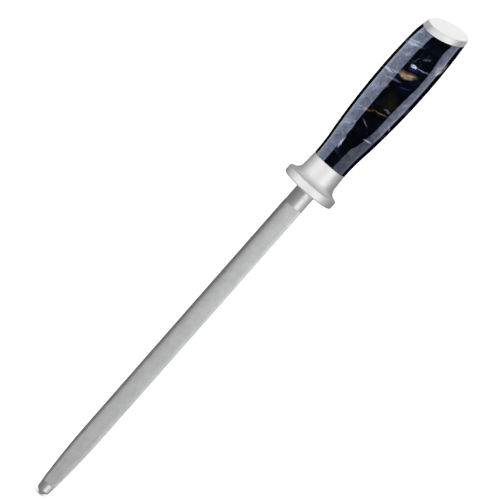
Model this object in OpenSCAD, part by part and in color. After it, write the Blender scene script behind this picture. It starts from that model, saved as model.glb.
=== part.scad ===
// Knife sharpening steel: grit coated round rod, turned guard bolster, barrel shaped
// resin handle and a slanted end cap. Millimetres.
// Origin: centre of the flat guard face that the rod comes out of.
// +Z runs up through the handle, the rod hangs down along -Z.

/* [Rod] */
// Length of the rod below the guard face
rod_length = 254; // [230:1:300]
// Diameter over the grit coat, on the parallel stretch
coated_dia = 13.8; // [13.5:0.1:14.2]
// Thickness of the grit coat
coat_thickness = 0.18; // [0.1:0.01:0.3]
// Bare polished neck between the guard and the coat
neck_length = 13; // [8:1:20]
// Parallel stretch of the coat below the neck
parallel_length = 77; // [50:1:90]
// Diameter over the coat where the point starts
point_dia = 13.4; // [12.8:0.1:13.8]
// Length of the rounded point
point_length = 54; // [45:1:60]
// Bare length at the nose
nose_length = 9; // [6:1:14]
// Bare diameter where the point's long curve meets the nose cone
nose_dia = 8.7; // [8:0.1:9.4]
// Half angle of the nose cone
nose_angle = 50; // [40:1:60]
// Rounding of the nose tip
tip_round = 1.2; // [0.8:0.1:1.5]
// Rounding between the nose cone and the side
shoulder_round = 1.5; // [1:0.1:2]

/* [Guard] */
// Diameter of the guard disc
guard_dia = 37; // [34:0.5:44]
// Height of the disc's rim, rounding included
rim_height = 5; // [4:0.1:6]
// Rounding of the rim on the rod side
rim_round = 1.5; // [0.8:0.1:2]
// Rounding of the rim on the handle side
rim_back_round = 1; // [0.5:0.1:1]
// Radius of the hollow curve between the disc and the neck
flare_curve = 6; // [5:0.1:7]
// Guard length, from the seat face to the handle
guard_length = 21.5; // [20:0.5:23]

/* [Handle] */
// Diameter at the guard joint
front_dia = 24; // [23:0.1:25]
// Largest diameter
belly_dia = 32.3; // [31:0.1:34]
// Height of the largest diameter above the guard face
belly_height = 93; // [90:1:96]
// Radius of the long curve in front of the belly
front_curve = 490; // [450:5:560]
// Radius of the long curve behind the belly
rear_curve = 435; // [380:5:600]
// Height where the front curve changes from hollow to full
turn_height = 40; // [36:1:42]
// Radius of the curve that rounds the end of the handle and the cap
end_curve = 115; // [100:5:140]
// Height where that curve is widest
end_curve_height = 102; // [98:1:106]
// Shift of that curve toward the cap's high side
end_shift = 1.5; // [1:0.1:2]

/* [End cap] */
// Height of the handle and cap joint on the axis
joint_height = 128.6; // [127:0.1:130]
// Slant of the joint and of the cap face
cap_slant = 18; // [12:1:20]
// Thickness of the cap, square to its face
cap_thickness = 4.2; // [4:0.1:6]

/* [Inside] */
// Depth of the rod seat in the guard
seat_depth = 6; // [5:0.5:8]
// Tang diameter, also the thread's outer diameter
tang_dia = 8; // [7.6:0.1:8]
// Thread pitch on the tang
thread_pitch = 1.25; // [1:0.25:1.5]
// Diameter of the bore through the handle
bore_dia = 10; // [9.4:0.1:10.4]
// Diameter of the nut pocket
pocket_dia = 18; // [17.6:0.1:18.4]
// Height of the nut pocket's floor
pocket_floor = 108; // [107:0.5:109]
// Diameter of the guard's and the cap's spigots
spigot_dia = 17.4; // [17.2:0.1:17.4]
// Length of the guard's spigot
spigot_length = 4; // [3:0.5:5]
// Diameter of the dowel pins
dowel_dia = 2; // [1.5:0.1:2]

/* [Hidden] */
// "all", or the name of one node

EDGE_BREAK = 0.4;     // chamfer on turned edges
SLIP = 0.06;          // radial clearance of a part that slides into another
EPS = 0.01;           // overshoot of a cutter past the face it opens
CURVE_STEPS = 14;     // straight steps in a long curve
SHORT_CURVE_STEPS = 5;
ROUND_STEPS = 8;      // straight steps in a small rounding
FAR = 60;             // size of the blocks that trim the slanted end
TRIM = 10;            // stock past the slanted joint that the blocks trim off
THREAD_SHARE = 0.54;  // thread depth as a share of its pitch

// Rod, radii of the bare steel under the coat
core_r = coated_dia / 2 - coat_thickness;
point_r = point_dia / 2 - coat_thickness;
parallel_end = -neck_length - parallel_length;
point_start = -rod_length + point_length;
coat_end = -rod_length + nose_length;
seat_r = core_r - EDGE_BREAK / 2;
tang_r = tang_dia / 2;
thread_depth = THREAD_SHARE * thread_pitch;

// Nose: a cone between two tangent roundings, then the long curve up to the point's start
nose_r = nose_dia / 2;
tip_centre = -rod_length + tip_round;
shoulder_centre_r = nose_r - shoulder_round;
cone_width = shoulder_centre_r + (shoulder_round - tip_round) * cos(nose_angle);
cone_low = tip_centre - tip_round * sin(nose_angle);
cone_high = cone_low + cone_width / tan(nose_angle);
nose_start = cone_high + shoulder_round * sin(nose_angle);
point_drop = point_r - nose_r;
point_curve = ((point_start - nose_start) ^ 2 + point_drop ^ 2) / (2 * point_drop);

// Guard
guard_r = guard_dia / 2;
front_r = front_dia / 2;
spigot_r = spigot_dia / 2;
spigot_top = guard_length + spigot_length;
flare_start = acos(rim_back_round / flare_curve);
flare_height = rim_height + rim_back_round + flare_curve * sin(flare_start);

// Handle
belly_r = belly_dia / 2;
turn_r = belly_r - (belly_height - turn_height) ^ 2 / (2 * front_curve);
hollow_curve = (turn_height - guard_length) ^ 2 / (2 * (turn_r - front_r));
end_r = belly_r + end_shift;
recess_top = spigot_top + SLIP;
bore_r = bore_dia / 2;
pocket_r = pocket_dia / 2;

// Clamp stack on the tang, from the pocket floor up
washer_thickness = 1.6;
washer_r = 8;
washer_slack = 0.2;   // radial, round the tang
lock_thickness = 2;
lock_r = 7.4;
lock_slack = 0.1;
lock_gap = 1.4;
nut_height = 6.5;
nut_flats = 13;
nut_corner_cut = 0.5;
thread_below_washer = 6;
thread_run_out = 1;
tang_past_nut = 2.5;
lock_floor = pocket_floor + washer_thickness;
nut_floor = lock_floor + lock_thickness;
nut_top = nut_floor + nut_height;
tang_end = nut_top + tang_past_nut;
thread_start = pocket_floor - thread_below_washer;
thread_turns = floor((tang_end - thread_run_out - thread_start) / thread_pitch);
thread_end = thread_start + thread_turns * thread_pitch;

// End cap
tang_to_cap = 1.4;    // free height over the tang's end
cap_spigot_floor = tang_end + tang_to_cap;
cap_top = joint_height + cap_thickness / cos(cap_slant);

// Dowels
dowel_r = dowel_dia / 2;
bolster_dowel_at = 7;
bolster_dowel_low = guard_length - 1;
bolster_dowel_high = spigot_top + 6;
cap_dowel_at = 11.4;
cap_dowel_low = joint_height - 5;
cap_dowel_high = joint_height + 3;

// Radius of the bare rod where it narrows: straight taper, then the point's long curve
function rod_r(z) =
    z >= parallel_end ? core_r
    : z >= point_start ? core_r + (point_r - core_r) * (parallel_end - z) / (parallel_end - point_start)
    : point_r - (point_curve - sqrt(point_curve ^ 2 - (point_start - z) ^ 2));

// Points of the rod's side between two heights, from the lower one up
function rod_side(low, high, steps, extra) =
    [for (i = [0:steps]) let (z = low + (high - low) * i / steps) [rod_r(z) + extra, z]];

// Outside radius of the handle and of the cap that carries the same curve on
function grip_r(z) =
    z < turn_height ? front_r + (z - guard_length) ^ 2 / (2 * hollow_curve)
    : z < belly_height ? belly_r - (belly_height - z) ^ 2 / (2 * front_curve)
    : belly_r - (z - belly_height) ^ 2 / (2 * rear_curve);

// Points of the handle's side between two heights
function grip_side(low, high, steps) =
    [for (i = [0:steps]) let (z = low + (high - low) * i / steps) [grip_r(z), z]];

// Points on an arc in the half plane of a turned profile
function arc_points(centre_r, centre_z, radius, from_angle, to_angle) = [
    for (i = [0:ROUND_STEPS])
        let (a = from_angle + (to_angle - from_angle) * i / ROUND_STEPS)
            [centre_r + radius * cos(a), centre_z + radius * sin(a)]
];

// All the points of a list but the first, where the last list ended on it
function past_first(points) = [for (i = [1:len(points) - 1]) points[i]];

// Saw tooth of the thread: crest, root, crest, shifted outward by extra
function thread_side(extra) = [
    for (i = [0:thread_turns - 1], half = [0, 1])
        [tang_r - half * thread_depth + extra, thread_start + (i + half / 2) * thread_pitch]
];

// Everything under the slanted plane that crosses the axis at this height
module under_slant(height) {
    translate([0, 0, height])
        rotate([cap_slant, 0, 0])
            translate([-FAR, -FAR, -2 * FAR])
                cube([2 * FAR, 2 * FAR, 2 * FAR]);
}

// A tube between two heights
module tube(low, high, outer_r, inner_r) {
    translate([0, 0, low])
        difference() {
            cylinder(h = high - low, r = outer_r);
            translate([0, 0, -EPS])
                cylinder(h = high - low + 2 * EPS, r = inner_r);
        }
}

// A pin or its hole at each side of the axis
module dowel_pair(distance, low, high) {
    for (side = [-1, 1])
        translate([side * distance, 0, low])
            cylinder(h = high - low, r = dowel_r);
}

// The curve that rounds the end of the handle and the cap, off centre toward the high side
module end_rounding() {
    translate([0, end_shift, 0])
        rotate_extrude()
            polygon(concat(
                [[0, 0], [FAR, 0]],
                [for (i = [0:CURVE_STEPS])
                    let (rise = (joint_height + TRIM - end_curve_height) * i / CURVE_STEPS)
                        [end_r - rise ^ 2 / (2 * end_curve), end_curve_height + rise]],
                [[0, joint_height + TRIM]]
            ));
}

module rod_core() {
    color("silver")
        rotate_extrude()
            polygon(concat(
                arc_points(0, tip_centre, tip_round, -90, -nose_angle),
                arc_points(shoulder_centre_r, nose_start, shoulder_round, -nose_angle, 0),
                past_first(rod_side(nose_start, coat_end, SHORT_CURVE_STEPS, 0)),
                past_first(rod_side(coat_end, point_start, CURVE_STEPS, 0)),
                [
                    [core_r, parallel_end],
                    [core_r, 0],
                    [seat_r, EDGE_BREAK / 2],
                    [seat_r, seat_depth],
                    [tang_r, seat_depth],
                    [tang_r, thread_start]
                ],
                thread_side(0),
                [
                    [tang_r, thread_end],
                    [tang_r, tang_end - thread_depth],
                    [tang_r - thread_depth, tang_end],
                    [0, tang_end]
                ]
            ));
}

module abrasive_coat() {
    outside = concat(
        rod_side(coat_end, point_start, CURVE_STEPS, coat_thickness),
        [[coated_dia / 2, parallel_end], [coated_dia / 2, -neck_length]]
    );
    inside = concat(
        rod_side(coat_end, point_start, CURVE_STEPS, 0),
        [[core_r, parallel_end], [core_r, -neck_length]]
    );
    color("gray")
        rotate_extrude()
            polygon(concat(outside, [for (i = [len(inside) - 1:-1:0]) inside[i]]));
}

module guard_bolster() {
    color("gainsboro")
        difference() {
            rotate_extrude()
                polygon(concat(
                    [[core_r + SLIP, 0]],
                    arc_points(guard_r - rim_round, rim_round, rim_round, -90, 0),
                    arc_points(guard_r - rim_back_round, rim_height, rim_back_round, 0, 90),
                    past_first(arc_points(guard_r, flare_height, flare_curve, 180 + flare_start, 180)),
                    [
                        [front_r, guard_length - EDGE_BREAK],
                        [front_r - EDGE_BREAK, guard_length],
                        [spigot_r, guard_length],
                        [spigot_r, spigot_top - EDGE_BREAK],
                        [spigot_r - EDGE_BREAK, spigot_top],
                        [tang_r + SLIP, spigot_top],
                        [tang_r + SLIP, seat_depth],
                        [seat_r + SLIP, seat_depth],
                        [seat_r + SLIP, EDGE_BREAK],
                        [core_r + SLIP, EDGE_BREAK / 2]
                    ]
                ));
            dowel_pair(bolster_dowel_at, bolster_dowel_low, bolster_dowel_high);
        }
}

module bolster_dowels() {
    color("lightgray")
        dowel_pair(bolster_dowel_at, bolster_dowel_low, bolster_dowel_high);
}

module handle_grip() {
    color("midnightblue")
        difference() {
            intersection() {
                rotate_extrude()
                    polygon(concat(
                        [[0, guard_length]],
                        [[front_r - EDGE_BREAK / 2, guard_length]],
                        grip_side(guard_length + EDGE_BREAK / 2, turn_height, SHORT_CURVE_STEPS),
                        past_first(grip_side(turn_height, belly_height, CURVE_STEPS)),
                        past_first(grip_side(belly_height, joint_height + TRIM, CURVE_STEPS)),
                        [[0, joint_height + TRIM]]
                    ));
                end_rounding();
                under_slant(joint_height);
            }
            translate([0, 0, guard_length - EPS])
                cylinder(h = recess_top - guard_length + EPS, r = spigot_r + SLIP);
            translate([0, 0, guard_length])
                cylinder(h = 2 * FAR, r = bore_r);
            translate([0, 0, pocket_floor])
                cylinder(h = FAR, r = pocket_r);
            dowel_pair(bolster_dowel_at, guard_length, bolster_dowel_high);
            dowel_pair(cap_dowel_at, cap_dowel_low, cap_dowel_high);
        }
}

module grip_bedding() {
    color("tan")
        tube(recess_top, thread_start, bore_r, tang_r);
}

module tang_washer() {
    color("silver")
        tube(pocket_floor, lock_floor, washer_r, tang_r + washer_slack);
}

module lock_washer() {
    color("dimgray")
        difference() {
            tube(lock_floor, nut_floor, lock_r, tang_r + lock_slack);
            translate([-lock_gap / 2, 0, lock_floor - EPS])
                cube([lock_gap, lock_r + EPS, lock_thickness + 2 * EPS]);
        }
}

module tang_nut() {
    corner_r = nut_flats / 2 / cos(30);
    color("silver")
        difference() {
            intersection() {
                translate([0, 0, nut_floor])
                    cylinder(h = nut_height, r = corner_r, $fn = 6);
                rotate_extrude()
                    polygon([
                        [0, nut_floor],
                        [nut_flats / 2, nut_floor],
                        [corner_r + EPS, nut_floor + nut_corner_cut],
                        [corner_r + EPS, nut_top - nut_corner_cut],
                        [nut_flats / 2, nut_top],
                        [0, nut_top]
                    ]);
            }
            rotate_extrude()
                polygon(concat(
                    [[0, thread_start]],
                    thread_side(SLIP),
                    [
                        [tang_r + SLIP, thread_end],
                        [tang_r + SLIP, tang_end],
                        [0, tang_end]
                    ]
                ));
        }
}

module end_cap() {
    color("gainsboro")
        difference() {
            intersection() {
                rotate_extrude()
                    polygon(concat(
                        [[0, joint_height - TRIM]],
                        grip_side(joint_height - TRIM, joint_height + TRIM, CURVE_STEPS),
                        [[0, joint_height + TRIM]]
                    ));
                end_rounding();
                difference() {
                    under_slant(cap_top);
                    difference() {
                        under_slant(joint_height);
                        translate([0, 0, cap_spigot_floor])
                            cylinder(h = FAR, r = spigot_r);
                    }
                }
            }
            dowel_pair(cap_dowel_at, cap_dowel_low, cap_dowel_high);
        }
}

module cap_bedding() {
    color("tan")
        intersection() {
            tube(cap_spigot_floor, joint_height + TRIM, pocket_r, spigot_r);
            under_slant(joint_height);
        }
}

module cap_dowels() {
    color("lightgray")
        dowel_pair(cap_dowel_at, cap_dowel_low, cap_dowel_high);
}

rod_core();
abrasive_coat();
guard_bolster();
bolster_dowels();
handle_grip();
grip_bedding();
tang_washer();
lock_washer();
tang_nut();
end_cap();
cap_bedding();
cap_dowels();
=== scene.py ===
"""Knife sharpening steel: the looks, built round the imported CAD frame.

Metres, in the CAD frame. The guard's rod-side face is at z = 0, the handle is above it
and the rod hangs below it. The end cap's slant faces -Y.
"""

import math

import bpy
from mathutils import Matrix, Vector


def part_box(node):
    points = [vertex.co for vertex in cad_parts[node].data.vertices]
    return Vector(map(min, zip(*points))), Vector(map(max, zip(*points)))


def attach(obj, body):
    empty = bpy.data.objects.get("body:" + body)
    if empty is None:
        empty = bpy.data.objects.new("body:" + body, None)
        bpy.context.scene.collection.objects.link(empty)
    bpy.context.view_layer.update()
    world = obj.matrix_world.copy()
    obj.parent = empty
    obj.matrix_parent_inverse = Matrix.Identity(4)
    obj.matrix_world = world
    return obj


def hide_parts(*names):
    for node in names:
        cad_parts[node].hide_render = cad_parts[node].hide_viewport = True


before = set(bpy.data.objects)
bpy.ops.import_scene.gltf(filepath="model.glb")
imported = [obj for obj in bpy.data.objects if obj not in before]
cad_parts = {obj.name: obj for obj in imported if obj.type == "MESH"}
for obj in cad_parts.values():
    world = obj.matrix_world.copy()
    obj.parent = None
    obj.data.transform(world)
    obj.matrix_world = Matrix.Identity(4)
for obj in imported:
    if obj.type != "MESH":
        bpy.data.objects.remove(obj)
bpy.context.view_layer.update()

MM = 0.001

# Places and sizes read from the CAD frame
GUARD_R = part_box("guard_bolster")[1].x
GUARD_SPIGOT_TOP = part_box("guard_bolster")[1].z
JOINT_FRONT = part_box("handle_grip")[0].z
BELLY_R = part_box("handle_grip")[1].x
NOSE_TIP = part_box("rod_core")[0].z
TANG_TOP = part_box("rod_core")[1].z
ROD_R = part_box("rod_core")[1].x
COAT_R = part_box("abrasive_coat")[1].x
COAT_LOW, COAT_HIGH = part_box("abrasive_coat")[0].z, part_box("abrasive_coat")[1].z
BORE_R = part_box("grip_bedding")[1].x
BEDDING_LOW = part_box("grip_bedding")[0].z
THREAD_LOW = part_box("grip_bedding")[1].z
POCKET_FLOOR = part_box("tang_washer")[0].z
POCKET_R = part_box("cap_bedding")[1].x
CAP_SPIGOT_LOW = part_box("end_cap")[0].z
BOLSTER_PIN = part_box("bolster_dowels")
CAP_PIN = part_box("cap_dowels")

# Turned shapes, as in the CAD source
RIM_HEIGHT = 5 * MM
RIM_ROUND = 1.5 * MM
RIM_BACK_ROUND = 1 * MM
FLARE_CURVE = 6 * MM
FRONT_R = 12 * MM
SPIGOT_R = 8.7 * MM
SEAT_DEPTH = 6 * MM
TANG_R = 4 * MM
THREAD_PITCH = 1.25 * MM
THREAD_SHARE = 0.54  # thread depth as a share of its pitch
EDGE_BREAK = 0.4 * MM  # chamfer on turned edges
SLIP = 0.06 * MM  # radial clearance of a part that slides into another
POINT_R = 6.7 * MM - (COAT_R - ROD_R)
POINT_LENGTH = 54 * MM
NOSE_R = 4.35 * MM
NOSE_ANGLE = 50
TIP_ROUND = 1.2 * MM
SHOULDER_ROUND = 1.5 * MM
PARALLEL_LOW = -90 * MM
TURN_HEIGHT = 40 * MM
BELLY_HEIGHT = 93 * MM
FRONT_CURVE = 490 * MM
REAR_CURVE = 435 * MM
JOINT_HEIGHT = 128.6 * MM
CAP_SLANT = math.radians(18)
CAP_TOP = JOINT_HEIGHT + 4.2 * MM / math.cos(CAP_SLANT)
END_CURVE = 115 * MM
END_CURVE_HEIGHT = 102 * MM
END_SHIFT = 1.5 * MM

# Nose: a cone between two tangent roundings, then the long curve up to the point's start
CONE_COS = math.cos(math.radians(NOSE_ANGLE))
CONE_SIN = math.sin(math.radians(NOSE_ANGLE))
CONE_WIDTH = NOSE_R - SHOULDER_ROUND + (SHOULDER_ROUND - TIP_ROUND) * CONE_COS
CONE_HIGH = NOSE_TIP + TIP_ROUND * (1 - CONE_SIN) + CONE_WIDTH * CONE_COS / CONE_SIN
NOSE_START = CONE_HIGH + SHOULDER_ROUND * CONE_SIN
POINT_START = NOSE_TIP + POINT_LENGTH
POINT_DROP = POINT_R - NOSE_R
POINT_CURVE = ((POINT_START - NOSE_START) ** 2 + POINT_DROP**2) / (2 * POINT_DROP)

SEGMENTS = 192  # round the axis
GRIP_MEAN_R = 15 * MM  # turns degrees round the handle into millimetres of its pattern
SHOW_SIDE = math.radians(42)  # the side the camera sees, from -Y towards +X
EDGE_ROUND = 0.35 * MM  # softened edges of the turned steel parts
RESIN_ROUND = 0.15 * MM  # softened edges of the resin handle
RESIN_STEP = 0.02 * MM  # the handle's front stands in from the guard's neck by this
SHARP_ANGLE = math.radians(32)  # edges that bend more than this stay crisp


# ---------------------------------------------------------------- shapes


def angles():
    return [2 * math.pi * i / SEGMENTS for i in range(SEGMENTS)]


def ring(radius, height):
    """A level circle of points round the axis."""
    return [(radius * math.cos(a), radius * math.sin(a), height) for a in angles()]


def arc(centre_r, centre_z, radius, start, end, steps):
    """Radius and height of points on an arc, angles in degrees."""
    turn = [math.radians(start + (end - start) * i / steps) for i in range(steps + 1)]
    return [(centre_r + radius * math.cos(a), centre_z + radius * math.sin(a)) for a in turn]


def stretch(shape, low, high, steps):
    """Radius and height of points on a side whose radius is a function of the height."""
    heights = [low + (high - low) * i / steps for i in range(steps + 1)]
    return [(shape(z), z) for z in heights]


def loft(name, rows, closed=False):
    """A mesh through rings of points. A row of one point is a pole; closed joins last to first."""
    points, starts = [], []
    for row in rows:
        starts.append(len(points))
        points.extend(row)
    faces = []
    pairs = list(zip(range(len(rows)), range(1, len(rows))))
    if closed:
        pairs.append((len(rows) - 1, 0))
    for a, b in pairs:
        for i in range(SEGMENTS):
            j = (i + 1) % SEGMENTS
            if len(rows[a]) == 1:
                face = (starts[a], starts[b] + j, starts[b] + i)
            elif len(rows[b]) == 1:
                face = (starts[a] + i, starts[a] + j, starts[b])
            else:
                face = (starts[a] + i, starts[a] + j, starts[b] + j, starts[b] + i)
            faces.append(face)
    mesh = bpy.data.meshes.new(name)
    mesh.from_pydata(points, [], faces)
    mesh.validate()
    mesh.polygons.foreach_set("use_smooth", [True] * len(mesh.polygons))
    mesh.set_sharp_from_angle(angle=SHARP_ANGLE)
    obj = bpy.data.objects.new(name, mesh)
    bpy.context.scene.collection.objects.link(obj)
    return obj


def turned(name, profile, closed=False):
    """A turned part from its outline; a radius of 0 is a pole."""
    rows = [[(0, 0, z)] if r < 1e-7 else ring(r, z) for r, z in profile]
    return loft(name, rows, closed)


def rod_radius(z):
    """Bare steel radius: parallel, then a slow taper, then the point's long curve."""
    if z >= PARALLEL_LOW:
        return ROD_R
    if z >= POINT_START:
        return ROD_R + (POINT_R - ROD_R) * (PARALLEL_LOW - z) / (PARALLEL_LOW - POINT_START)
    return POINT_R - (POINT_CURVE - math.sqrt(POINT_CURVE**2 - (POINT_START - z) ** 2))


def grip_radius(z):
    """Handle radius: hollow behind the guard, full over the belly, closing to the cap."""
    turn_r = BELLY_R - (BELLY_HEIGHT - TURN_HEIGHT) ** 2 / (2 * FRONT_CURVE)
    if z < TURN_HEIGHT:
        reach = (z - JOINT_FRONT) / (TURN_HEIGHT - JOINT_FRONT)
        return FRONT_R + (turn_r - FRONT_R) * reach**2
    if z < BELLY_HEIGHT:
        return BELLY_R - (BELLY_HEIGHT - z) ** 2 / (2 * FRONT_CURVE)
    return BELLY_R - (z - BELLY_HEIGHT) ** 2 / (2 * REAR_CURVE)


def end_reach(a, z):
    """Reach from the axis of the curve that rounds the end, off centre toward the high side."""
    if z < END_CURVE_HEIGHT:
        return math.inf
    radius = BELLY_R + END_SHIFT - (z - END_CURVE_HEIGHT) ** 2 / (2 * END_CURVE)
    along, aside = END_SHIFT * math.sin(a), END_SHIFT * math.cos(a)
    return along + math.sqrt(radius**2 - aside**2)


def grip_reach(a, z):
    """Reach of the handle's or cap's side from the axis, at an angle and a height."""
    return min(grip_radius(z), end_reach(a, z))


def slant_edge(height):
    """Where the handle's side meets the slanted plane that crosses the axis at this height."""
    edge = []
    for a in angles():
        z = height
        for _ in range(8):
            z = height + grip_reach(a, z) * math.sin(a) * math.tan(CAP_SLANT)
        r = grip_reach(a, z)
        edge.append(Vector((r * math.cos(a), r * math.sin(a), z)))
    return edge


def slant_ring(radius, height):
    """A round wall's edge on the slanted plane."""
    rise = math.tan(CAP_SLANT)
    return [(x, y, height + y * rise) for x, y, _ in ring(radius, 0)]


def rounded_slant_edge(height, side, size, steps=5):
    """Rows round the edge of a slanted face, from the handle's side to the face.

    side is -1 where the body is under the plane, +1 where it is over it.
    """
    rows = [[] for _ in range(steps + 1)]
    for corner, a in zip(slant_edge(height), angles()):
        outward = Vector((corner.x, corner.y, 0)).normalized()
        inward = Vector((-outward.x, -outward.y, -outward.y * math.tan(CAP_SLANT))).normalized()
        z = corner.z + side * size
        reach_change = grip_reach(a, z) - grip_reach(a, corner.z)
        down_side = Vector((0, 0, side * size)) + outward * reach_change
        for k, row in enumerate(rows):
            bend = math.pi / 2 * k / steps
            row.append(
                corner + down_side * (1 - math.sin(bend)) + inward * size * (1 - math.cos(bend))
            )
    return rows


def side_rows(low_row, high_row, steps):
    """Rows on the handle's side between two of its rings, ends left out."""
    rows = []
    for k in range(1, steps):
        row = []
        for p, q, a in zip(low_row, high_row, angles()):
            z = p[2] + (q[2] - p[2]) * k / steps
            r = grip_reach(a, z)
            row.append((r * math.cos(a), r * math.sin(a), z))
        rows.append(row)
    return rows


def pin_holes(obj, pins):
    """Cuts the two holes that a pair of dowels sits in, given the dowels' box."""
    low, high = pins
    radius = high.y
    steps = 32
    turn = [2 * math.pi * i / steps for i in range(steps)]
    for side in (-1, 1):
        centre = side * (high.x - radius)
        cutter_mesh = bpy.data.meshes.new("cutter")
        points = [
            (centre + radius * math.cos(a), radius * math.sin(a), z)
            for z in (low.z, high.z)
            for a in turn
        ]
        faces = [(i, (i + 1) % steps, (i + 1) % steps + steps, i + steps) for i in range(steps)]
        faces.append(tuple(reversed(range(steps))))
        faces.append(tuple(range(steps, 2 * steps)))
        cutter_mesh.from_pydata(points, [], faces)
        cutter = bpy.data.objects.new("cutter", cutter_mesh)
        bpy.context.scene.collection.objects.link(cutter)
        cut = obj.modifiers.new("pin_hole", "BOOLEAN")
        cut.operation = "DIFFERENCE"
        cut.solver = "EXACT"
        cut.object = cutter
        graph = bpy.context.evaluated_depsgraph_get()
        drilled = bpy.data.meshes.new_from_object(obj.evaluated_get(graph))
        obj.modifiers.clear()
        obj.data = drilled
        bpy.data.objects.remove(cutter)
    obj.data.set_sharp_from_angle(angle=SHARP_ANGLE)


def build_rod():
    """Core of the rod with its shoulder and tang; only the neck and the nose are in sight."""
    profile = arc(0, NOSE_TIP + TIP_ROUND, TIP_ROUND, -90, -NOSE_ANGLE, 10)
    profile += arc(NOSE_R - SHOULDER_ROUND, NOSE_START, SHOULDER_ROUND, -NOSE_ANGLE, 0, 12)
    profile += stretch(rod_radius, NOSE_START, POINT_START, 40)[1:]
    profile += stretch(rod_radius, POINT_START, 0, 20)[1:]
    seat_r = ROD_R - EDGE_BREAK / 2
    profile += [
        (seat_r, EDGE_BREAK / 2),
        (seat_r, SEAT_DEPTH),
        (TANG_R, SEAT_DEPTH),
        (TANG_R, THREAD_LOW),
    ]
    root_r = TANG_R - THREAD_SHARE * THREAD_PITCH
    z = THREAD_LOW
    while z < TANG_TOP - THREAD_PITCH:
        profile += [(root_r, z + THREAD_PITCH / 2), (TANG_R, z + THREAD_PITCH)]
        z += THREAD_PITCH
    profile += [(root_r, TANG_TOP), (0, TANG_TOP)]
    return turned("rod", profile)


def build_coat():
    """Grit sleeve round the rod."""
    thick = COAT_R - ROD_R
    heights = [z for _, z in stretch(rod_radius, COAT_LOW, POINT_START, 40)]
    heights += [z for _, z in stretch(rod_radius, POINT_START, COAT_HIGH, 24)[1:]]
    outside = [(rod_radius(z) + thick, z) for z in heights]
    inside = [(rod_radius(z), z) for z in reversed(heights)]
    lip = thick / 3
    outside[0] = (outside[0][0] - lip, outside[0][1])
    outside.insert(1, (rod_radius(COAT_LOW + lip) + thick, COAT_LOW + lip))
    outside[-1] = (outside[-1][0], COAT_HIGH - lip)
    outside.append((outside[-1][0] - lip, COAT_HIGH))
    return turned("grit_sleeve", outside + inside, closed=True)


def build_guard():
    """Guard disc, hollow flare, neck and the spigot that goes into the handle."""
    flare_turn = math.acos(RIM_BACK_ROUND / FLARE_CURVE)
    flare_z = RIM_HEIGHT + RIM_BACK_ROUND + FLARE_CURVE * math.sin(flare_turn)
    seat_r = ROD_R - EDGE_BREAK / 2 + SLIP
    profile = [(ROD_R + SLIP + EDGE_BREAK / 4, 0)]
    profile += [(GUARD_R - RIM_ROUND - 2 * MM, 0)]
    profile += arc(GUARD_R - RIM_ROUND, RIM_ROUND, RIM_ROUND, -90, 0, 14)
    profile += [(GUARD_R, (RIM_ROUND + RIM_HEIGHT) / 2)]
    profile += arc(GUARD_R - RIM_BACK_ROUND, RIM_HEIGHT, RIM_BACK_ROUND, 0, 90, 10)
    profile += arc(GUARD_R, flare_z, FLARE_CURVE, 180 + math.degrees(flare_turn), 180, 24)[1:]
    neck_r, neck_z = profile[-1]
    front_z = JOINT_FRONT - EDGE_ROUND
    profile += [
        (neck_r + (FRONT_R - neck_r) * k / 8, neck_z + (front_z - neck_z) * k / 8)
        for k in range(1, 8)
    ]
    profile += arc(FRONT_R - EDGE_ROUND, front_z, EDGE_ROUND, 0, 90, 6)
    profile += [
        (SPIGOT_R, JOINT_FRONT),
        (SPIGOT_R, GUARD_SPIGOT_TOP - EDGE_BREAK),
        (SPIGOT_R - EDGE_BREAK, GUARD_SPIGOT_TOP),
        (TANG_R + SLIP, GUARD_SPIGOT_TOP),
        (TANG_R + SLIP, SEAT_DEPTH),
        (seat_r, SEAT_DEPTH),
        (seat_r, EDGE_BREAK),
        (ROD_R + SLIP, EDGE_BREAK / 2),
    ]
    guard = turned("guard", profile, closed=True)
    pin_holes(guard, BOLSTER_PIN)
    return guard


def build_handle():
    """Resin handle with its slanted end, nut pocket, bore and guard recess."""
    front_r = FRONT_R - RESIN_STEP
    front = ring(front_r, JOINT_FRONT + RESIN_ROUND)
    end_rows = rounded_slant_edge(JOINT_HEIGHT, -1, RESIN_ROUND)
    rows = [ring(front_r - RESIN_ROUND, JOINT_FRONT), front]
    rows += side_rows(front, end_rows[0], 110)
    rows += end_rows
    rows += [
        slant_ring(POCKET_R, JOINT_HEIGHT),
        ring(POCKET_R, POCKET_FLOOR),
        ring(BORE_R, POCKET_FLOOR),
        ring(BORE_R, BEDDING_LOW),
        ring(SPIGOT_R + SLIP, BEDDING_LOW),
        ring(SPIGOT_R + SLIP, JOINT_FRONT),
    ]
    handle = loft("handle", rows, closed=True)
    pin_holes(handle, BOLSTER_PIN)
    pin_holes(handle, CAP_PIN)
    return handle


def build_cap():
    """Slanted end cap: a slab that carries the handle's curve on, with its spigot."""
    joint_rows = rounded_slant_edge(JOINT_HEIGHT, 1, EDGE_ROUND)
    face_rows = rounded_slant_edge(CAP_TOP, -1, EDGE_ROUND)
    rows = [[(0, 0, CAP_SPIGOT_LOW)], ring(SPIGOT_R, CAP_SPIGOT_LOW)]
    rows += [slant_ring(SPIGOT_R, JOINT_HEIGHT)]
    rows += list(reversed(joint_rows))
    rows += side_rows(joint_rows[0], face_rows[0], 8)
    rows += face_rows
    face_edge = face_rows[-1]
    centre = Vector((0, 0, CAP_TOP))
    for part in (0.9, 0.6, 0.3):
        rows.append([centre.lerp(p, part) for p in face_edge])
    rows.append([tuple(centre)])
    cap = loft("cap", rows)
    pin_holes(cap, CAP_PIN)
    return cap


# ---------------------------------------------------------------- materials


def new_material(name):
    """An empty node material with a Principled shader; returns it and its tree."""
    material = bpy.data.materials.new(name)
    material.use_nodes = True
    return material, material.node_tree


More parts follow.
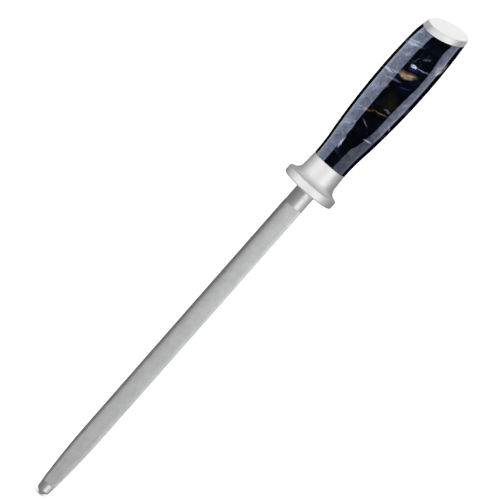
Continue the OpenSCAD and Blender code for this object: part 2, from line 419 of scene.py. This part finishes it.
def add(tree, kind, settings=None, **inputs):
    """Adds a node. settings are its properties, inputs its socket values or links.

    An input goes to the socket of its name, or i0, i1 and so on to the socket of that number.
    """
    made = tree.nodes.new(kind)
    for key, value in (settings or {}).items():
        setattr(made, key, value)
    for key, value in inputs.items():
        socket = made.inputs[int(key[1:]) if key[0] == "i" and key[1:].isdigit() else key]
        if isinstance(value, bpy.types.NodeSocket):
            tree.links.new(value, socket)
        else:
            socket.default_value = value
    return made


def math_node(tree, operation, a, b=0.0):
    return add(tree, "ShaderNodeMath", {"operation": operation}, i0=a, i1=b).outputs[0]


def vector_node(tree, operation, a, **inputs):
    return add(tree, "ShaderNodeVectorMath", {"operation": operation}, i0=a, **inputs)


def mix_colours(tree, factor, under, over):
    """Lays the colour over, as red, green and blue, on the colour under."""
    return add(
        tree, "ShaderNodeMix", {"data_type": "RGBA"}, Factor=factor, i6=under, i7=(*over, 1)
    ).outputs[2]


def blend_values(tree, a, part_a, b, part_b):
    """Sum of two values, each times its part."""
    first = math_node(tree, "MULTIPLY", a, part_a)
    second = math_node(tree, "MULTIPLY", b, part_b)
    return math_node(tree, "ADD", first, second)


def ramp(tree, value, stops):
    """A colour ramp; stops are (place, grey) or (place, (r, g, b))."""
    made = add(tree, "ShaderNodeValToRGB", None, Fac=value)
    elements = made.color_ramp.elements
    while len(elements) < len(stops):
        elements.new(0.5)
    for element, (place, colour) in zip(elements, stops):
        element.position = place
        rgb = (colour,) * 3 if isinstance(colour, (int, float)) else colour
        element.color = (*rgb, 1)
    return made.outputs[0]


def noise(tree, vector, scale, detail=2.0, rough=0.5, distortion=0.0):
    return add(
        tree, "ShaderNodeTexNoise", None,
        Vector=vector, Scale=scale, Detail=detail, Roughness=rough, Distortion=distortion,
    ).outputs["Fac"]


def waver(tree, place, scale, reach):
    """Noise vector that wanders by up to half the reach each way, to bend a pattern."""
    cloud = add(tree, "ShaderNodeTexNoise", None, Vector=place, Scale=scale, Detail=2.0)
    centred = vector_node(tree, "SUBTRACT", cloud.outputs["Color"], i1=(0.5, 0.5, 0.5)).outputs[0]
    return vector_node(tree, "SCALE", centred, Scale=reach).outputs[0]


def millimetres(tree):
    """Object coordinates in millimetres."""
    coords = add(tree, "ShaderNodeTexCoord").outputs["Object"]
    return vector_node(tree, "SCALE", coords, Scale=1 / MM).outputs[0]


def round_axis(tree, vector):
    """Radius and height of a point, as a vector, for grain that runs round the axis."""
    parts = add(tree, "ShaderNodeSeparateXYZ", None, Vector=vector).outputs
    flat = add(tree, "ShaderNodeCombineXYZ", None, X=parts[0], Y=parts[1]).outputs[0]
    radius = vector_node(tree, "LENGTH", flat).outputs["Value"]
    return add(tree, "ShaderNodeCombineXYZ", None, X=radius, Z=parts[2]).outputs[0]


def satin_steel(name, tone, rough, grain_round):
    """Satin or polished steel: fine grain, faint patchiness in tone and roughness."""
    material, tree = new_material(name)
    shader = tree.nodes["Principled BSDF"]
    place = millimetres(tree)
    grain_place = round_axis(tree, place) if grain_round else place
    grain = noise(tree, grain_place, 9.0, 3.0, 0.6)
    patches = noise(tree, place, 0.16, 3.0, 0.55)
    mix = blend_values(tree, grain, 0.35, patches, 0.65)
    dark = tuple(c * 0.93 for c in tone)
    tree.links.new(ramp(tree, mix, [(0.3, dark), (0.7, tone)]), shader.inputs["Base Color"])
    tree.links.new(
        ramp(tree, mix, [(0.3, rough - 0.04), (0.7, rough + 0.04)]), shader.inputs["Roughness"]
    )
    shader.inputs["Metallic"].default_value = 1.0
    relief = add(tree, "ShaderNodeBump", None, Strength=0.35, Distance=0.02 * MM, Height=grain)
    tree.links.new(relief.outputs[0], shader.inputs["Normal"])
    return material


def grit_plating(name):
    """Diamond grit in nickel: grey, matt, with fine grains standing out."""
    material, tree = new_material(name)
    shader = tree.nodes["Principled BSDF"]
    place = millimetres(tree)
    cells = add(tree, "ShaderNodeTexVoronoi", {"feature": "F1"}, Vector=place, Scale=4.5)
    grains = cells.outputs["Distance"]
    fine = noise(tree, place, 5.0, 3.0, 0.7)
    clouds = noise(tree, place, 0.25, 2.0, 0.5)
    mix = blend_values(tree, fine, 0.7, clouds, 0.3)
    greys = [
        (0.3, (0.27, 0.272, 0.273)),
        (0.5, (0.33, 0.332, 0.333)),
        (0.75, (0.41, 0.412, 0.413)),
    ]
    tree.links.new(ramp(tree, mix, greys), shader.inputs["Base Color"])
    tree.links.new(ramp(tree, fine, [(0.3, 0.36), (0.7, 0.48)]), shader.inputs["Roughness"])
    shader.inputs["Metallic"].default_value = 0.6
    height = math_node(tree, "ADD", math_node(tree, "MULTIPLY", grains, -0.6), fine)
    relief = add(tree, "ShaderNodeBump", None, Strength=0.5, Distance=0.05 * MM, Height=height)
    tree.links.new(relief.outputs[0], shader.inputs["Normal"])
    return material


# Colours in the resin
BLUE = (0.012, 0.018, 0.11)
PALE = (0.30, 0.36, 0.52)
WHITE = (0.68, 0.78, 0.98)
BEIGE = (0.27, 0.22, 0.19)
TAN = (0.38, 0.29, 0.20)
AMBER = (0.11, 0.052, 0.010)
STRAW = (0.30, 0.27, 0.10)
OLIVE = (0.010, 0.010, 0.004)
# Depths of the dark resin, by its clouds
RESIN_DARKS = [
    (0.38, (0.0014, 0.0016, 0.002)),
    (0.55, (0.002, 0.003, 0.0055)),
    (0.75, (0.004, 0.008, 0.02)),
]
# Pearl patches in the gloss, from dull blue to bright
PEARL_GLOSS = [(0.36, (0.12, 0.17, 0.38)), (0.5, (0.45, 0.52, 0.80)), (0.62, (1.0, 0.98, 0.98))]

# Streaks of pearl: from turn (degrees to the right of the show side) and height (mm), to turn
# and height, then width (mm), bow, colour and strength
STREAKS = [
    (-60, 44, -26, 54, 5, 0.3, PALE, 0.4),
    (-54, 38, -36, 43, 1.3, 0.6, PALE, 0.6),
    (-52, 47, -30, 51, 1.2, 0, PALE, 0.5),
    (-62, 74, -30, 80, 6, 0.2, PALE, 0.3),
    (-66, 106, -30, 115, 6, 0, PALE, 0.4),
    (48, 54, 76, 58, 5, 0, PALE, 0.14),
    (50, 74, 76, 80, 5, 0, PALE, 0.14),
    (-10, 74.7, 30, 75.7, 16, 0, OLIVE, 0.9),
    (-44, 31, -3, 34, 4, 0.3, BLUE, 0.9),
    (-15, 34, -17, 43, 1.8, 0, WHITE, 0.9),
    (-17, 42, -21, 54, 1.4, 0, PALE, 0.5),
    (-27, 52, -20, 54, 1.6, 0, PALE, 0.6),
    (-63, 57.6, -28, 63.7, 1.2, 0.5, PALE, 0.8),
    (-54, 56.7, -23, 62, 1.0, 0.5, PALE, 0.6),
    (-29, 62, -17, 64.7, 2.4, 0, BEIGE, 0.8),
    (-23, 62.8, 2, 67.2, 1.1, -0.8, AMBER, 1.0),
    (0, 66.9, 27, 67.9, 0.8, -0.4, STRAW, 0.6),
    (10, 70.7, 26, 71.2, 1.6, 0, PALE, 0.35),
    (-12, 58, 10, 55, 1.1, 0.4, PALE, 0.35),
    (-86, 72.7, -70, 77.7, 4, 0, BLUE, 0.8),
    (-70, 89.7, -30, 91.2, 1.7, 0.3, WHITE, 0.8),
    (-42, 86.7, -4, 89.7, 1.5, -0.3, PALE, 0.55),
    (-43, 91.7, -13, 93.7, 1.0, 0.3, PALE, 0.7),
    (-40, 87.7, -4, 90.7, 4, 0, BLUE, 0.25),
    (0, 86.2, 31, 91.2, 1.3, -0.4, BLUE, 1.0),
    (-22, 93.0, 21, 97.0, 4.6, -0.5, TAN, 1.0),
    (-20, 95.4, 12, 97.9, 3.0, -0.5, AMBER, 0.9),
    (-30, 80.5, -16, 84, 3.5, 0, BEIGE, 0.5),
    (-80, 102, -64, 105, 2.5, 0, AMBER, 0.8),
    (-10, 100.5, 15, 101.7, 3.4, -0.3, BLUE, 0.9),
    (-9, 102.3, 5, 103.5, 2.6, 0, WHITE, 1.0),
    (2, 103.2, 35, 104.7, 0.9, -0.5, PALE, 0.8),
    (-42, 103.7, -26, 107.2, 2.8, 0, PALE, 0.5),
    (-75, 109.7, -17, 115.2, 2.0, 0.4, WHITE, 0.6),
    (-70, 112.2, -22, 117.2, 1.8, 0.4, WHITE, 0.5),
    (0, 109.2, 18, 112.2, 1.8, 0, PALE, 0.22),
    (-65, 118.7, -45, 122.2, 2.4, 0, PALE, 0.5),
    (24, 48.5, 52, 49, 1.4, 0, WHITE, 0.8),
    (45, 64.2, 70, 61.5, 1.7, 0.3, PALE, 0.7),
    (38, 78.7, 52, 82.7, 1.8, 0, PALE, 0.35),
    (40, 107.2, 70, 116.2, 8, 0, BEIGE, 0.95),
    (52, 106.7, 64, 111.2, 3, 0, WHITE, 0.6),
]


def grip_surface(tree, place):
    """Arc length round the handle from the show side, and height, with a slow and a fine waver.

    Both in millimetres. The back carries the same streaks upside down.
    """
    turned_place = add(
        tree, "ShaderNodeVectorRotate", {"rotation_type": "Z_AXIS"}, Vector=place, Angle=-SHOW_SIDE
    ).outputs[0]
    x, y, z = add(tree, "ShaderNodeSeparateXYZ", None, Vector=turned_place).outputs
    turn = math_node(tree, "ARCTAN2", x, math_node(tree, "MULTIPLY", y, -1.0))
    behind = math_node(tree, "GREATER_THAN", math_node(tree, "ABSOLUTE", turn), math.pi / 2)
    half_turn = math_node(tree, "MULTIPLY", math_node(tree, "SIGN", turn), math.pi)
    turn = math_node(tree, "SUBTRACT", turn, math_node(tree, "MULTIPLY", half_turn, behind))
    ends = (JOINT_FRONT + JOINT_HEIGHT) / MM
    flipped = math_node(tree, "SUBTRACT", ends, math_node(tree, "MULTIPLY", z, 2.0))
    height = math_node(tree, "ADD", z, math_node(tree, "MULTIPLY", flipped, behind))
    arc_length = math_node(tree, "MULTIPLY", turn, GRIP_MEAN_R / MM)
    flat = add(tree, "ShaderNodeCombineXYZ", None, X=arc_length, Y=height).outputs[0]
    for scale, reach in ((0.12, 3.5), (0.9, 0.8)):
        flat = vector_node(tree, "ADD", flat, i1=waver(tree, place, scale, reach)).outputs[0]
    return flat


def streak(tree, surface, under, number, shape):
    """Lays one tapering, fibrous streak of pearl over the colour under it."""
    turn_from, height_from, turn_to, height_to, width, bow, colour, strength = shape
    start = Vector((math.radians(turn_from) * GRIP_MEAN_R / MM, height_from))
    end = Vector((math.radians(turn_to) * GRIP_MEAN_R / MM, height_to))
    middle, along = (start + end) / 2, end - start
    local = add(
        tree, "ShaderNodeMapping", {"vector_type": "TEXTURE"},
        Vector=surface, Location=(middle.x, middle.y, 0),
        Rotation=(0, 0, math.atan2(along.y, along.x)), Scale=(along.length * 0.6, width * 0.6, 1),
    ).outputs[0]
    x, y, _ = add(tree, "ShaderNodeSeparateXYZ", None, Vector=local).outputs
    square = math_node(tree, "MULTIPLY", x, x)
    bent_y = math_node(tree, "ADD", y, math_node(tree, "MULTIPLY", square, bow))
    bent = add(tree, "ShaderNodeCombineXYZ", None, X=x, Y=bent_y, Z=0.0).outputs[0]
    reach = vector_node(tree, "LENGTH", bent).outputs["Value"]
    mask = add(
        tree, "ShaderNodeMapRange", {"interpolation_type": "SMOOTHSTEP"},
        Value=reach, i1=1.0, i2=0.35, i3=0.0, i4=strength,
    ).outputs[0]
    fibre_place = add(
        tree, "ShaderNodeMapping", None,
        Vector=bent, Location=(0, 0, number * 5.3), Scale=(1.1, 1.7, 1),
    ).outputs[0]
    fibre = ramp(tree, noise(tree, fibre_place, 1.6, 4.0, 0.65), [(0.33, 0.15), (0.6, 1.0)])
    return mix_colours(tree, math_node(tree, "MULTIPLY", mask, fibre), under, colour)


def pearl_resin(name):
    """Very dark blue cast resin with pearl clouds, fine wisps and the placed streaks."""
    material, tree = new_material(name)
    shader = tree.nodes["Principled BSDF"]
    place = millimetres(tree)
    # slow swirl that bends the clouds and wisps
    bent = vector_node(tree, "ADD", place, i1=waver(tree, place, 0.05, 30.0)).outputs[0]
    base = ramp(tree, noise(tree, bent, 0.10, 5.0, 0.62), RESIN_DARKS)
    # fine wisps, thin bright lines that run across the axis
    across = add(
        tree, "ShaderNodeMapping", None,
        Vector=bent, Rotation=(math.radians(18), math.radians(14), 0), Scale=(0.35, 0.35, 1.0),
    ).outputs[0]
    off_middle = math_node(tree, "SUBTRACT", noise(tree, across, 0.2, 4.0, 0.6), 0.5)
    from_line = math_node(tree, "ABSOLUTE", off_middle)
    line = ramp(tree, from_line, [(0.0, 1.0), (0.008, 0.5), (0.03, 0.0)])
    where = ramp(tree, noise(tree, bent, 0.11, 2.0, 0.5), [(0.54, 0.0), (0.72, 0.1)])
    colour = mix_colours(tree, math_node(tree, "MULTIPLY", line, where), base, PALE)
    surface = grip_surface(tree, place)
    for number, shape in enumerate(STREAKS):
        colour = streak(tree, surface, colour, number, shape)
    tree.links.new(colour, shader.inputs["Base Color"])
    shader.inputs["Roughness"].default_value = 0.06
    shader.inputs["Specular IOR Level"].default_value = 1.0
    pearl = noise(tree, bent, 0.33, 5.0, 0.65, 0.6)
    tree.links.new(ramp(tree, pearl, PEARL_GLOSS), shader.inputs["Specular Tint"])
    shader.inputs["Coat Weight"].default_value = 1.0
    shader.inputs["Coat Roughness"].default_value = 0.02
    return material


def epoxy(name):
    """Set epoxy: amber, faintly cloudy."""
    material, tree = new_material(name)
    shader = tree.nodes["Principled BSDF"]
    cloud = noise(tree, millimetres(tree), 0.8, 3.0, 0.6)
    ambers = [(0.3, (0.30, 0.22, 0.10)), (0.7, (0.42, 0.33, 0.18))]
    tree.links.new(ramp(tree, cloud, ambers), shader.inputs["Base Color"])
    tree.links.new(ramp(tree, cloud, [(0.3, 0.3), (0.7, 0.45)]), shader.inputs["Roughness"])
    return material


def give(obj, material):
    obj.data.materials.clear()
    obj.data.materials.append(material)


# ---------------------------------------------------------------- the object

rod_steel = satin_steel("polished_rod_steel", (0.66, 0.66, 0.67), 0.48, grain_round=True)
guard_steel = satin_steel("satin_guard_steel", (0.72, 0.72, 0.715), 0.46, grain_round=True)
cap_steel = satin_steel("satin_cap_steel", (0.72, 0.72, 0.715), 0.46, grain_round=False)
zinc = satin_steel("zinc_plated_steel", (0.55, 0.57, 0.6), 0.35, grain_round=True)
set_epoxy = epoxy("set_epoxy")

LOOKS = [
    (build_rod, "rod_core", "rod_steel", rod_steel),
    (build_coat, "abrasive_coat", "grit_coat", grit_plating("grit_plating")),
    (build_guard, "guard_bolster", "satin_steel", guard_steel),
    (build_handle, "handle_grip", "pearl_resin", pearl_resin("pearl_resin")),
    (build_cap, "end_cap", "satin_steel", cap_steel),
]
for build, cad_node, slot, look in LOOKS:
    piece = build()
    give(piece, look)
    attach(piece, "root")
    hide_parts(cad_node)

for hidden in ("bolster_dowels", "tang_washer", "lock_washer", "tang_nut", "cap_dowels"):
    give(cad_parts[hidden], zinc)
for hidden in ("grip_bedding", "cap_bedding"):
    give(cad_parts[hidden], set_epoxy)


# ---------------------------------------------------------------- the stage

# The camera stands off the show side, far away with a long lens
CAMERA_DISTANCE = 4.037
CAMERA_HEIGHT = 0.470
AIM_HEIGHT = -0.0516
AIM_SIDE = -0.00198
CAMERA_ROLL = math.radians(41.36)
LENS = 473.1

# Soft lights for everything matt: turn from the camera's side, rise and strength
MATT_LIGHTS = [("front_light", 5, 0.75, 5.0), ("back_light", 180, 0.6, 3.0)]

# Two cards close to the handle make its long reflections
STRIP_DISTANCE = 0.07
STRIP_COLOUR = (0.90, 1.0, 1.17)
LEFT_CARD_EDGE = [(-0.3, -37), (0.3, -37)]
LEFT_CARD_FAR = -112
LEFT_CARD_RADIANCE = 1.75
# The right card is in three bands that brighten upward: the radiance, and the inner edge as
# heights and degrees to the right of the camera's side
RIGHT_CARD_BANDS = [
    (0.72, [(-0.450, 24), (0.015, 24), (0.020, 37), (0.030, 49), (0.038, 54)]),
    (1.0, [(0.038, 54), (0.045, 58)]),
    (
        1.4,
        [(0.045, 58), (0.060, 55), (0.075, 59), (0.090, 66), (0.105, 64), (0.118, 55), (0.300, 52)],
    ),
]
RIGHT_CARD_FAR = 105

# A tent of cards stands round the object: its radius, and heights of its edges. The tents of
# the different pieces stand a gap apart, as cards that coincide would hide one another.
TENT_RADIUS = 0.6
TENT_GAP = 0.02
TENT_LOW = -0.7
TENT_HIGH = 0.55
# Its cards: from turn to turn, in degrees to the right of the camera's side, and radiance
GUARD_TENT = [
    (-115, -75, 0.7),
    (-75, -10, 1.3),
    (-10, 20, 1.0),
    (20, 68, 1.5),
    (68, 110, 0.5),
    (110, 245, 0.28),
]
CAP_TENT = [(-110, -75, 0.4), (-75, 12, 1.12), (12, 60, 1.5), (60, 250, 0.4)]
COAT_TENT = [(-96, -48, 1.6), (-48, 82, 1.0), (82, 150, 1.9), (150, 235, 0.35)]
# The coat's tent changes at this height
COAT_HIGH_START = -0.2
COAT_HIGH_TENT = [
    (-84, -52, 1.0),
    (-52, 20, 1.5),
    (20, 82, 1.9),
    (82, 150, 2.6),
    (150, 235, 0.48),
]
ROD_TENT = [
    (-125, -60, 0.25),
    (-60, 14, 0.4),
    (14, 62, 1.75),
    (62, 120, 0.7),
    (120, 235, 0.25),
]
# Level cards over and under the object: name, height, radiance and the pieces they light
LEVEL_CARDS = [
    ("top_card", TENT_HIGH, 0.9, ["guard", "rod"]),
    ("cap_top_card", TENT_HIGH + TENT_GAP, 1.05, ["cap"]),
    ("guard_low_card", TENT_LOW, 0.8, ["guard"]),
    ("nose_low_card", TENT_LOW - TENT_GAP, 0.35, ["rod"]),
]
# A brighter card, inside the tent, for the slanted face of the cap
CAP_FACE_EDGE = [(0.25, -230), (TENT_HIGH, -230)]
CAP_FACE_FAR = -120
CAP_FACE_RADIANCE = 1.3


def side_direction(turn):
    """Level direction at this angle from the camera's side, in degrees, positive to its right."""
    a = SHOW_SIDE + math.radians(turn)
    return Vector((math.sin(a), -math.cos(a), 0))


def place_camera():
    """The object's axis leans right in the picture, so the camera is rolled."""
    to_camera = side_direction(0)
    across = side_direction(90)
    aim = Vector((0, 0, AIM_HEIGHT)) + across * AIM_SIDE
    eye = to_camera * CAMERA_DISTANCE + Vector((0, 0, CAMERA_HEIGHT)) + across * AIM_SIDE
    look = (aim - eye).normalized()
    up = (Vector((0, 0, 1)) - look * look.z).normalized()
    right = look.cross(up)
    roll_right = up * math.sin(CAMERA_ROLL) + right * math.cos(CAMERA_ROLL)
    roll_up = up * math.cos(CAMERA_ROLL) - right * math.sin(CAMERA_ROLL)
    data = bpy.data.cameras.new("camera")
    data.lens = LENS
    data.clip_end = 100
    camera = bpy.data.objects.new("camera", data)
    turn = Matrix((roll_right, roll_up, -look)).transposed().to_4x4()
    camera.matrix_world = Matrix.Translation(eye) @ turn
    bpy.context.scene.collection.objects.link(camera)
    bpy.context.scene.camera = camera


def light_card(name, points, faces, radiance, receivers, colour=(1, 1, 1)):
    """A glowing, see-through card that shows only in the gloss of the pieces that receive it."""
    mesh = bpy.data.meshes.new(name)
    mesh.from_pydata(points, [], faces)
    card = bpy.data.objects.new(name, mesh)
    material, tree = new_material(name)
    tree.nodes.remove(tree.nodes["Principled BSDF"])
    glow = add(tree, "ShaderNodeEmission", None, Color=(*colour, 1), Strength=radiance).outputs[0]
    clear = add(tree, "ShaderNodeBsdfTransparent").outputs[0]
    both = add(tree, "ShaderNodeAddShader", None, i0=glow, i1=clear).outputs[0]
    tree.links.new(both, tree.nodes["Material Output"].inputs["Surface"])
    mesh.materials.append(material)
    card.visible_camera = False
    card.visible_diffuse = False
    card.visible_shadow = False
    lit = bpy.data.collections.new(name + "_lit")
    for piece_name in receivers:
        lit.objects.link(bpy.data.objects[piece_name])
    card.light_linking.receiver_collection = lit
    bpy.context.scene.collection.objects.link(card)


def curved_card(name, distance, edge, far_turn, radiance, receivers, colour=(1, 1, 1)):
    """A card on a cylinder round the object, from an edge of (height, turn) points to a turn."""
    steps = 16
    points, faces = [], []
    for height, near_turn in edge:
        for k in range(steps + 1):
            away = side_direction(near_turn + (far_turn - near_turn) * k / steps) * distance
            points.append((away.x, away.y, height))
    row = steps + 1
    for i in range(len(edge) - 1):
        for k in range(steps):
            a = i * row + k
            faces.append((a, a + 1, a + 1 + row, a + row))
    light_card(name, points, faces, radiance, receivers, colour)


def tent(name, place, cards, receivers, low=TENT_LOW, high=TENT_HIGH):
    """A run of upright cards round the object, in the first, second or later place outward."""
    for number, (from_turn, to_turn, radiance) in enumerate(cards):
        edge = [(low, from_turn), (high, from_turn)]
        distance = TENT_RADIUS + place * TENT_GAP
        curved_card(f"{name}_{number}", distance, edge, to_turn, radiance, receivers)


def level_card(name, height, radiance, receivers):
    """A round level card that closes the tent over or under the object."""
    steps = 32
    turns = [2 * math.pi * i / steps for i in range(steps)]
    points = [(TENT_RADIUS * math.cos(a), TENT_RADIUS * math.sin(a), height) for a in turns]
    light_card(name, points, [tuple(range(steps))], radiance, receivers)


def matt_light(name, turn, rise, strength):
    """Very soft light for everything matt, from a turn and a rise over the level."""
    data = bpy.data.lights.new(name, "SUN")
    data.energy = strength
    data.angle = math.radians(100)
    light = bpy.data.objects.new(name, data)
    towards = side_direction(turn) + Vector((0, 0, rise))
    light.rotation_mode = "QUATERNION"
    light.rotation_quaternion = towards.to_track_quat("Z", "Y")
    light.visible_glossy = False
    bpy.context.scene.collection.objects.link(light)


def lay_floor():
    """Pale floor under the nose. It doesn't show in the gloss."""
    size = 40.0
    mesh = bpy.data.meshes.new("floor")
    corners = [(-size, -size), (size, -size), (size, size), (-size, size)]
    mesh.from_pydata([(x, y, NOSE_TIP) for x, y in corners], [], [(0, 1, 2, 3)])
    floor = bpy.data.objects.new("floor", mesh)
    material, tree = new_material("pale_floor")
    shader = tree.nodes["Principled BSDF"]
    shader.inputs["Base Color"].default_value = (0.9, 0.9, 0.9, 1)
    shader.inputs["Roughness"].default_value = 1.0
    shader.inputs["Specular IOR Level"].default_value = 0.0
    mesh.materials.append(material)
    floor.visible_glossy = False
    floor.visible_diffuse = False
    bpy.context.scene.collection.objects.link(floor)


def light_world():
    """White for the camera only: the cards and the soft lights do the lighting."""
    world = bpy.data.worlds.new("studio")
    world.use_nodes = True
    world.node_tree.nodes["Background"].inputs["Color"].default_value = (1, 1, 1, 1)
    world.node_tree.nodes["Background"].inputs["Strength"].default_value = 1.0
    world.cycles_visibility.glossy = False
    world.cycles_visibility.diffuse = False
    bpy.context.scene.world = world


bpy.context.scene.view_settings.view_transform = "Standard"
light_world()
lay_floor()
for light in MATT_LIGHTS:
    matt_light(*light)
curved_card(
    "left_card", STRIP_DISTANCE, LEFT_CARD_EDGE, LEFT_CARD_FAR,
    LEFT_CARD_RADIANCE, ["handle"], STRIP_COLOUR,
)
for band, (radiance, edge) in enumerate(RIGHT_CARD_BANDS):
    curved_card(
        f"right_card_{band}", STRIP_DISTANCE, edge, RIGHT_CARD_FAR,
        radiance, ["handle"], STRIP_COLOUR,
    )
tent("guard_card", 0, GUARD_TENT, ["guard"])
tent("cap_card", 1, CAP_TENT, ["cap"])
tent("rod_card", 2, ROD_TENT, ["rod"])
tent("coat_low_card", 3, COAT_TENT, ["grit_sleeve"], high=COAT_HIGH_START)
tent("coat_high_card", 3, COAT_HIGH_TENT, ["grit_sleeve"], low=COAT_HIGH_START)
for card in LEVEL_CARDS:
    level_card(*card)
curved_card(
    "cap_face_card", TENT_RADIUS - TENT_GAP, CAP_FACE_EDGE, CAP_FACE_FAR, CAP_FACE_RADIANCE, ["cap"]
)
place_camera()
